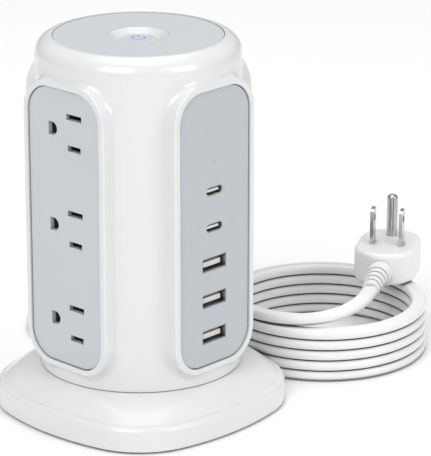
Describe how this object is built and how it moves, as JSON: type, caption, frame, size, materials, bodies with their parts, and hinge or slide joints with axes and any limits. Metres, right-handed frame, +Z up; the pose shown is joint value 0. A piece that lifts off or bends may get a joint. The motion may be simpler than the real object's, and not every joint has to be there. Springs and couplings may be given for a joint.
{
  "type": "tower power strip",
  "caption": "Tower power strip: a round white housing on a rounded-square base with mains outlets and USB sockets round it, a push switch on top and a coiled cord with a plug.",
  "frame": {"origin": "on the floor under the middle of the base, at the rubber feet", "axes": "+Z up the tower; the front outlet panel faces -Y and the USB panel faces +X; the cord leaves the base on the -X side and its coil lies on the +Y side"},
  "size_m": [0.1621, 0.2115, 0.1555],
  "materials": {
    "white_plastic": "satin",
    "panel_plastic": "matte",
    "inner_plastic": "matte",
    "block_plastic": "matte",
    "foot_rubber": "matte",
    "screw_steel": "satin",
    "weight_steel": "rough",
    "circuit_board": "satin",
    "clear_plastic": "gloss",
    "varistor_ceramic": "satin",
    "lit_symbol": "gloss",
    "line_insulation": "satin",
    "neutral_insulation": "satin",
    "ground_insulation": "satin",
    "cord_sheath": "satin",
    "plug_grey": "matte",
    "plated_steel": "polished",
    "contact_brass": "polished",
    "socket_black": "matte",
    "socket_white": "matte"
  },
  "bodies": {
    "tower": {"base_bottom_cover": "white_plastic", "base_screws": "screw_steel", "base_shell": "white_plastic", "base_weight": "weight_steel", "body_shell": "white_plastic", "button_spring": "screw_steel", "column_screws": "screw_steel", "cord_coil": "cord_sheath", "cord_lead": "cord_sheath", "cord_strain_relief": "cord_sheath", "cord_tail": "cord_sheath", "ground_strip_back": "contact_brass", "ground_strip_front": "contact_brass", "ground_strip_left": "contact_brass", "ground_wire": "ground_insulation", "indicator_light": "clear_plastic", "line_strip_back": "contact_brass", "line_strip_front": "contact_brass", "line_strip_left": "contact_brass", "line_wire": "line_insulation", "neutral_strip_back": "contact_brass", "neutral_strip_front": "contact_brass", "neutral_strip_left": "contact_brass", "neutral_wire": "neutral_insulation", "outlet_block_back": "block_plastic", "outlet_block_front": "block_plastic", "outlet_block_left": "block_plastic", "outlet_panel_back": "panel_plastic", "outlet_panel_front": "panel_plastic", "outlet_panel_left": "panel_plastic", "plug_back": "plug_grey", "plug_body": "cord_sheath", "plug_ground_pin": "plated_steel", "plug_line_blade": "plated_steel", "plug_neutral_blade": "plated_steel", "plug_strain_relief": "cord_sheath", "rubber_feet": "foot_rubber", "support_column": "inner_plastic", "surge_board": "circuit_board", "switch_bezel": "panel_plastic", "switch_body": "inner_plastic", "top_cover": "panel_plastic", "usb_a_insulator_1": "socket_white", "usb_a_insulator_2": "socket_white", "usb_a_insulator_3": "socket_white", "usb_a_shell_1": "plated_steel", "usb_a_shell_2": "plated_steel", "usb_a_shell_3": "plated_steel", "usb_board": "circuit_board", "usb_c_insulator_1": "socket_black", "usb_c_insulator_2": "socket_black", "usb_c_shell_1": "plated_steel", "usb_c_shell_2": "plated_steel", "usb_panel": "panel_plastic", "varistors": "varistor_ceramic"},
    "button": {"power_button": "panel_plastic", "button_symbol": "lit_symbol"}
  },
  "joints": [
    {"name": "button_press", "type": "slide", "parent": "tower", "child": "button", "axis": [0, 0, -1], "range_m": [0, 0.0015], "stiffness_N_per_m": 400, "deforming": ["button_spring"]}
  ]
}
